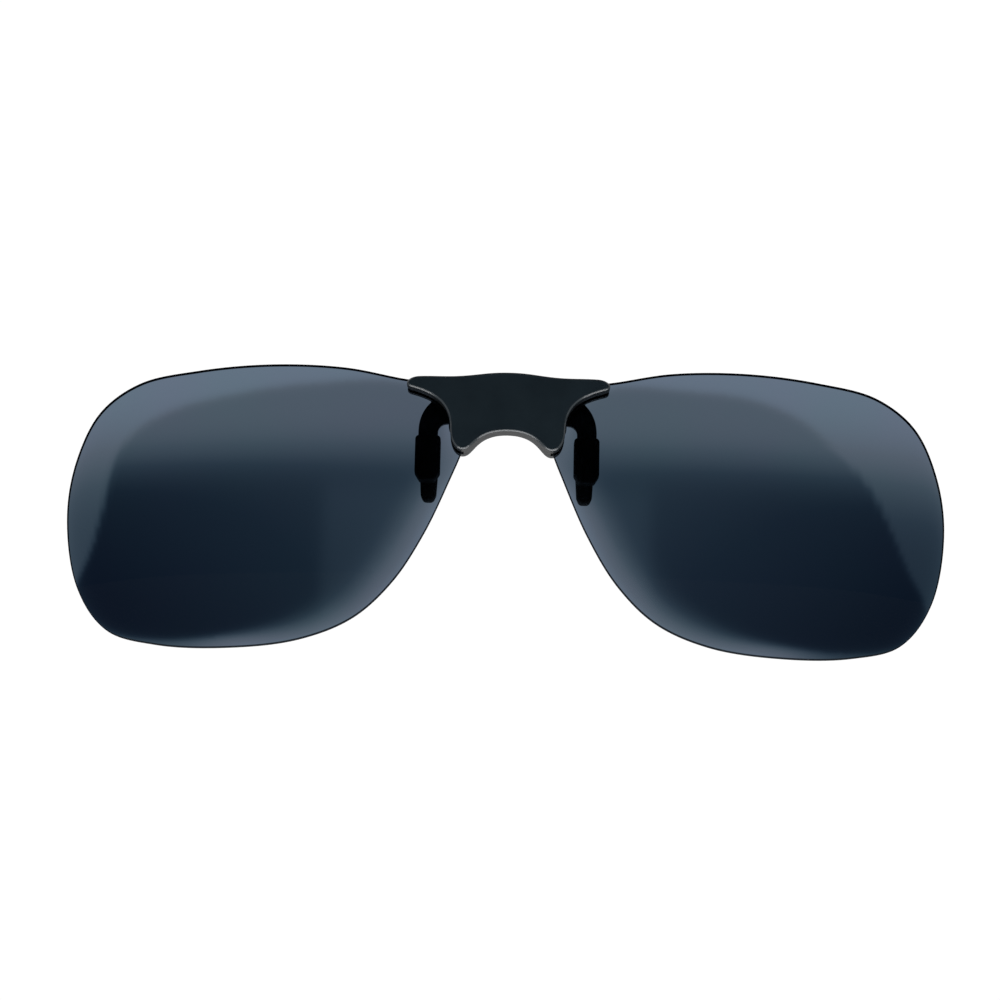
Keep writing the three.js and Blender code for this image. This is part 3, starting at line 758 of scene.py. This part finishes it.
def make_cover(plastic, shaded_wall):
    front_rim, back_rim = chamfer_rim(COVER_CHAMFER, HOUSING_EDGE), round_rim(HOUSING_EDGE, 2)
    cover = slab("cover", housing_outline(COVER_ARCH_TOP), COVER_Y, front_rim, back_rim)
    cut(cover, *lens_rooms())
    cut(cover, *(rod_y(place, SCREW_HOLE, (SCREW_HOLE_BOTTOM_Y, 0)) for place in both_sides(LENS_SCREWS)))
    finish_piece(cover, "cover", "front", [plastic, shaded_wall])
    # walls take the second material, darker with painted shade
    for face in cover.data.polygons:
        face.material_index = int(abs(face.normal.y) < COVER_WALL_LEAN)


def knuckle(span, wall_y):
    """A rounded ear round the pivot that runs back to a wall at wall_y."""
    side = 1 if wall_y > PIVOT_Y else -1
    tip = arc((PIVOT_Y, PIVOT_Z), KNUCKLE_RADIUS, 90, 90 + side * 180, 30)
    foot = [(wall_y, PIVOT_Z - KNUCKLE_RADIUS), (wall_y, PIVOT_Z + KNUCKLE_RADIUS)]
    outline = anticlockwise(np.vstack([tip, foot]))
    rim = round_rim(KNUCKLE_RIM, 3)
    rings = [(inset(outline, i), span[0] + d) for i, d in rim]
    rings += [(inset(outline, i), span[1] - d) for i, d in reversed(rim)]
    return loft("knuckle", [np.column_stack([np.full(len(p), x), p[:, 0], p[:, 1]]) for p, x in rings])


def knuckles(span, wall_y):
    """A pair of ears, one each side of the symmetry plane."""
    return [knuckle(sorted((sign * span[0], sign * span[1])), wall_y) for sign in SIDES.values()]


def make_base(plastic):
    front_rim, back_rim = round_rim(HOUSING_EDGE, 2), round_rim(BASE_RIM, 4)
    base = slab("base", housing_outline(BASE_ARCH_TOP), BASE_Y, front_rim, back_rim)
    join(base, *knuckles(EAR_X, BASE_Y[1] - 0.5))
    cut(base, pivot_rod(EAR_BORE), *lens_rooms())
    cut(base, *(rod_y(place, SCREW_HOLE, THROUGH) for place in both_sides(LENS_SCREWS)))
    finish_piece(base, "base", "front", plastic)


def make_screws(steel, plain):
    kinds = (("lens_screw", lens_screw, "steel", steel), ("lens_bush", lens_bush, "bush", plain))
    for kind, make, slot, look in kinds:
        for side, sign in SIDES.items():
            for place, (x, z) in LENS_SCREWS.items():
                node = f"{kind}_{side}_{place}"
                finish_piece(make(node, sign * x, z), node, "front", look)


def lens_screw(name, x, z):
    """A pan-headed screw with a rolled thread, a cone point and a driver slot."""
    low, high = (c.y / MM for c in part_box(name))
    profile = [(low, 0.2), (low + 0.35, THREAD_ROOT)]
    at = low + 0.5
    while at < THREAD_END_Y:
        profile += [(at, THREAD_ROOT), (at + THREAD_PITCH / 2, SCREW_SHANK)]
        at += THREAD_PITCH
    seat, head = SCREW_SEAT_Y, SCREW_HEAD
    profile += [(THREAD_END_Y + 0.1, SCREW_SHANK - 0.02), (seat, SCREW_SHANK), (seat, head - 0.1),
                (seat + 0.12, head), (seat + 0.38, head - 0.02), (high - 0.14, head - 0.18),
                (high - 0.04, head - 0.4), (high, head - 0.7)]
    screw = turned(name, profile, (x, 0, z), "y", 32)
    left, right, half = x - 2 * head, x + 2 * head, SCREW_SLOT_HALF
    across = np.array([(left, z - half), (right, z - half), (right, z + half), (left, z + half)])
    return cut(screw, slab("slot", across, (high - SCREW_SLOT_DEPTH, high + 1), NO_RIM, NO_RIM))


def lens_bush(name, x, z):
    low, high = (c.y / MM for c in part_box(name))
    rim = 0.08
    profile = [(low, BUSH_RADIUS - rim), (low + rim, BUSH_RADIUS), (high - rim, BUSH_RADIUS),
               (high, BUSH_RADIUS - rim)]
    return cut(turned(name, profile, (x, 0, z), "y"), rod_y((x, z), SCREW_HOLE, THROUGH))


# --- front prongs ---------------------------------------------------------------------------------


def front_hook_outline():
    x, top, bottom, half = FRONT_SHAFT_X, FRONT_SHAFT_TOP, FRONT_SHAFT_BOTTOM, FRONT_SHAFT_HALF
    radius = FRONT_HOOK_RADIUS
    return np.vstack([
        [(x - half, bottom), (x + half, bottom)],
        bezier((x + half, top), (x + half, 5.6), (13.0, 7.0), (11.8, 8.2), 24),
        [(11.8, 8.2), (9.4, 9.9), (6.6, 5.3)],
        arc((x - half - radius, top), radius, 90, 0, 16),
    ])


def make_front_arms(steel):
    rim = round_rim(ARM_RIM, 2)
    arm = slab("front_arm_left", front_hook_outline(), FRONT_ARM_Y, rim, rim)
    screws = LENS_SCREWS.values()
    join(arm, *(slab("boss", circle(place, FRONT_BOSS_RADIUS), FRONT_ARM_Y, rim, rim) for place in screws))
    cut(arm, *(rod_y(place, SCREW_HOLE, THROUGH) for place in screws))
    finish_pair(arm, "front_arm", "front", steel)


def sleeve_outline(x, top, corner, bottom, top_half, corner_half, tip_half, soft):
    """Straight or tapered sides from top down to corner, then in to a blunt tip at bottom."""
    return filleted([
        (x + top_half, top, 0.6), (x + corner_half, corner, soft), (x + tip_half, bottom, soft),
        (x - tip_half, bottom, soft), (x - corner_half, corner, soft), (x - top_half, top, 0.6),
    ])


def make_sleeves(rubber):
    """Rubber sleeves, each with room inside for the arm's shaft."""
    gap = SLEEVE_GAP
    x, half = FRONT_SHAFT_X, FRONT_SHAFT_HALF + gap
    outline = sleeve_outline(x, top=2.9, corner=-2.9, bottom=-4.2, top_half=1.95, corner_half=1.95,
                             tip_half=1.15, soft=0.6)
    low = FRONT_SHAFT_BOTTOM - gap
    room = np.array([(x - half, low), (x + half, low), (x + half, 4.5), (x - half, 4.5)])
    make_sleeve_pair("front_sleeve", "front", outline, FRONT_SLEEVE_Y, room, FRONT_ARM_Y, rubber)

    x, top, low = REAR_SHAFT_X, REAR_SHAFT_TOP, REAR_SHAFT_BOTTOM - gap
    half, tip = (size + gap for size in REAR_SHAFT_HALF)
    outline = sleeve_outline(x, top=3.4, corner=-5.8, bottom=-6.8, top_half=1.7, corner_half=1.2,
                             tip_half=0.75, soft=0.7)
    room = np.array([(x - tip, low), (x + tip, low), (x + half, top), (x - half, top)])
    make_sleeve_pair("rear_sleeve", "clamp", outline, REAR_SLEEVE_Y, room, REAR_ARM_Y, rubber)


def make_sleeve_pair(name, body, outline, span, room, arm_y, rubber):
    """A left and a right sleeve, hollowed by the outline room over the arm's thickness."""
    rim = round_rim(SLEEVE_RIM, 5)
    sleeve = slab(name, resample(outline, 120), span, rim, rim)
    cut(sleeve, slab("room", room, (arm_y[0] - SLEEVE_GAP, arm_y[1] + SLEEVE_GAP), NO_RIM, NO_RIM))
    finish_pair(sleeve, name, body, rubber)


# --- clamp ----------------------------------------------------------------------------------------


def make_rear_arms(steel):
    x, top, bottom = REAR_SHAFT_X, REAR_SHAFT_TOP, REAR_SHAFT_BOTTOM
    half, tip = REAR_SHAFT_HALF
    outline = np.vstack([
        [(x + tip, bottom)],
        bezier((x + half, top), (x + half, 7.0), (12.2, 9.0), (9.0, 9.0), 24),
        [(9.0, 9.0), (6.1, 9.0), (5.7, 8.6), (5.7, 6.1), (6.1, 5.7), (8.2, 5.7), (9.0, 6.3)],
        bezier((9.0, 6.3), (9.0 + (x - half - 9.0) * 2 / 3, 6.3), (x - half, 5.7), (x - half, top), 16)[1:],
        [(x - half, top), (x - tip, bottom)],
    ])
    rim = round_rim(ARM_RIM, 2)
    arm = slab("rear_arm_left", outline, REAR_ARM_Y, rim, rim)
    cut(arm, *(rod_y(place, RIVET_HOLE, THROUGH) for place in RIVETS.values()))
    finish_pair(arm, "rear_arm", "clamp", steel)


def bent(along, depth):
    """(y, z) of a place that far up the lever's front face and that deep in from it."""
    turn = min(max((along - BEND_START) / BEND_RADIUS, 0), TAB_LEAN)
    past = max(along - BEND_START - BEND_RUN, 0) if turn > 0 else 0
    up = min(along, BEND_START)
    y = LEVER_FRONT + BEND_RADIUS - (BEND_RADIUS - depth) * math.cos(turn) + past * math.sin(turn)
    z = LEVER_BOTTOM + up + (BEND_RADIUS - depth) * math.sin(turn) + past * math.cos(turn)
    return y, z


def bend_body(obj):
    """Bends a body drawn flat, with y as depth and z as the way up the lever."""
    bm = bmesh.new()
    bm.from_mesh(obj.data)
    for share in np.linspace(0, 1, 9):
        at = (BEND_START + BEND_RUN * share) * MM
        everything = bm.verts[:] + bm.edges[:] + bm.faces[:]
        bmesh.ops.bisect_plane(bm, geom=everything, plane_co=(0, 0, at), plane_no=(0, 0, 1), dist=1e-7)
    for v in bm.verts:
        y, z = bent(v.co.z / MM, v.co.y / MM)
        v.co.y, v.co.z = y * MM, z * MM
    bm.to_mesh(obj.data)
    bm.free()
    return obj


def make_lever(plastic):
    plate_corner, inner_corner, tab_corner = 1.1, 0.7, 2.2
    right_half = [
        (PLATE_HALF, 0, plate_corner), (PLATE_HALF, LEVER_SHOULDER, plate_corner),
        (TAB_HALF, LEVER_SHOULDER, inner_corner), (TAB_HALF, LEVER_LENGTH, tab_corner),
    ]
    outline = filleted(right_half + [(-x, z, corner) for x, z, corner in reversed(right_half)], 9)
    rim = round_rim(LEVER_RIM, 4)
    lever = bend_body(slab("clamp_lever", outline, (0, LEVER_THICKNESS), rim, rim))
    join(lever, *knuckles(KNUCKLE_X, LEVER_FRONT + 0.6))
    cut(lever, pivot_rod(KNUCKLE_BORE))
    cut(lever, *(rod_y(place, RIVET_HOLE, THROUGH) for place in both_sides(RIVETS)))
    finish_piece(lever, "clamp_lever", "clamp", plastic)


def make_thumb_grip(rubber):
    """A pad of soft ribs across the back of the tab."""
    half, ribs, floor_height, rib_height = 5.4, 5, 0.42, 0.33
    low, high = 6.0, 9.35  # along the lever
    steps = ribs * 12
    along, height = [low], [0.0]
    for i in range(steps + 1):
        wave = math.sin(i / steps * ribs * math.pi) ** 2
        along.append(low + (high - low) * i / steps)
        height.append(floor_height + rib_height * wave**0.6)
    along.append(high)
    height.append(0.0)
    section = [bent(a, LEVER_THICKNESS + 0.1 + h) for a, h in zip(along, height)]
    middle = np.mean(section, axis=0)
    end = [(half - 0.3, 1.0), (half - 0.1, 0.97), (half, 0.9)]  # how far across, and how much of the section
    rings = []
    for x, share in [(-x, share) for x, share in reversed(end)] + end:
        rings.append([(x, *(middle + (np.array(p) - middle) * share)) for p in section])
    finish_piece(loft("thumb_grip", rings), "thumb_grip", "clamp", rubber)


def make_rivets(steel):
    head = [(0, 0.3), (0.05, 0.5), (0.16, 0.68), (0.3, 0.78), (RIVET_HEAD_LENGTH, RIVET_HEAD),
            (RIVET_HEAD_LENGTH, RIVET_SHANK)]
    for side, sign in SIDES.items():
        for place, (x, z) in RIVETS.items():
            name = f"rivet_{side}_{place}"
            low, high = (c.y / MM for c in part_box(name))
            profile = [(low + depth, radius) for depth, radius in head]
            profile += [(high - depth, radius) for depth, radius in reversed(head)]
            finish_piece(turned(name, profile, (sign * x, 0, z), "y", 32), name, "clamp", steel)


# --- pivot ----------------------------------------------------------------------------------------


def make_pin(steel):
    low, high = (c.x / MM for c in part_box("pivot_pin"))
    seat, shank, head = high - PIN_HEAD_LENGTH, PIN_RADIUS, PIN_HEAD_RADIUS
    profile = [(low, shank - 0.15), (low + 0.15, shank), (seat, shank), (seat, head - 0.06),
               (seat + 0.08, head), (high - 0.2, head - 0.02), (high - 0.06, head - 0.18),
               (high, head - 0.45)]
    pin = turned("pivot_pin", profile, (0, PIVOT_Y, PIVOT_Z), "x")
    finish_piece(pin, "pivot_pin", "front", steel)


def spring_path():
    """From the leg on the housing round the coil to the leg on the lever's tab."""
    turns = np.linspace(0, SPRING_TURNS, int(SPRING_TURNS * SPRING_STEPS_A_TURN) + 1)
    angle = math.pi + turns * 2 * math.pi
    coil = np.column_stack([-SPRING_HALF + turns * SPRING_PITCH, PIVOT_Y + SPRING_RADIUS * np.cos(angle),
                            PIVOT_Z + SPRING_RADIUS * np.sin(angle)])
    front_leg = bezier((-2.3, 11.0), (-2.2, 9.8), (-1.7, 8.6), (-1.7, 7.6), SPRING_LEG_STEPS)
    back_leg = bezier((2.35, 11.4), (1.2, 9.9), (0.5, 9.2), (0.5, 7.6), SPRING_LEG_STEPS)[::-1]
    return np.vstack([
        np.column_stack([np.full(SPRING_LEG_STEPS, -SPRING_HALF), front_leg]),
        coil,
        np.column_stack([np.full(SPRING_LEG_STEPS, SPRING_HALF), back_leg]),
    ])


def swept_wire(name, path, radius, sides=14):
    """A round wire along the path, with domed ends, its section carried along without twist."""
    ahead = np.gradient(path, axis=0)
    ahead /= np.linalg.norm(ahead, axis=1)[:, None]
    normal = np.cross(ahead[0], (1, 0, 0))
    normal /= np.linalg.norm(normal)
    angles = np.linspace(0, 2 * math.pi, sides, endpoint=False)
    frames = []
    for t in ahead:
        normal = normal - t * (normal @ t)
        normal /= np.linalg.norm(normal)
        frames.append((normal, np.cross(t, normal)))

    def ring(i, size, shift):
        n, b = frames[i]
        return (path[i] + ahead[i] * shift + radius * size
                * (np.cos(angles)[:, None] * n + np.sin(angles)[:, None] * b))

    dome = [(0.35, 1.0), (0.75, 0.7), (1.0, 0.0)]
    rings = [ring(0, size, -radius * out * 0.6) for size, out in dome[:-1]]
    rings += [ring(i, 1, 0) for i in range(len(path))]
    rings += [ring(len(path) - 1, size, radius * out * 0.6) for size, out in reversed(dome[:-1])]
    return loft(name, rings)


def make_spring(steel):
    spring = swept_wire("torsion_spring_look", spring_path(), SPRING_WIRE)
    spring.data.materials.append(steel)
    spring.data.polygons.foreach_set("use_smooth", [True] * len(spring.data.polygons))
    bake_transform(spring)
    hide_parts("torsion_spring")


# --- all of it ------------------------------------------------------------------------------------


def main():
    make_camera()
    make_world()
    make_stage()
    moulded = moulded_plastic()
    lacquer = lacquered_steel()
    rubber = soft_rubber()
    turned_steel = drawn_steel("turned_steel", (1, 0.15, 1))
    wire_steel = drawn_steel("wire_steel", (1, 1, 1))
    make_lenses()
    make_cover(housing_plastic(), housing_wall_matte_painted_shade())
    make_base(moulded)
    make_screws(turned_steel, nylon())
    make_front_arms(lacquer)
    make_sleeves(rubber)
    make_rear_arms(lacquer)
    make_lever(moulded)
    make_thumb_grip(rubber)
    make_rivets(turned_steel)
    make_pin(drawn_steel("pin_steel", (0.15, 1, 1)))
    make_spring(wire_steel)


main()
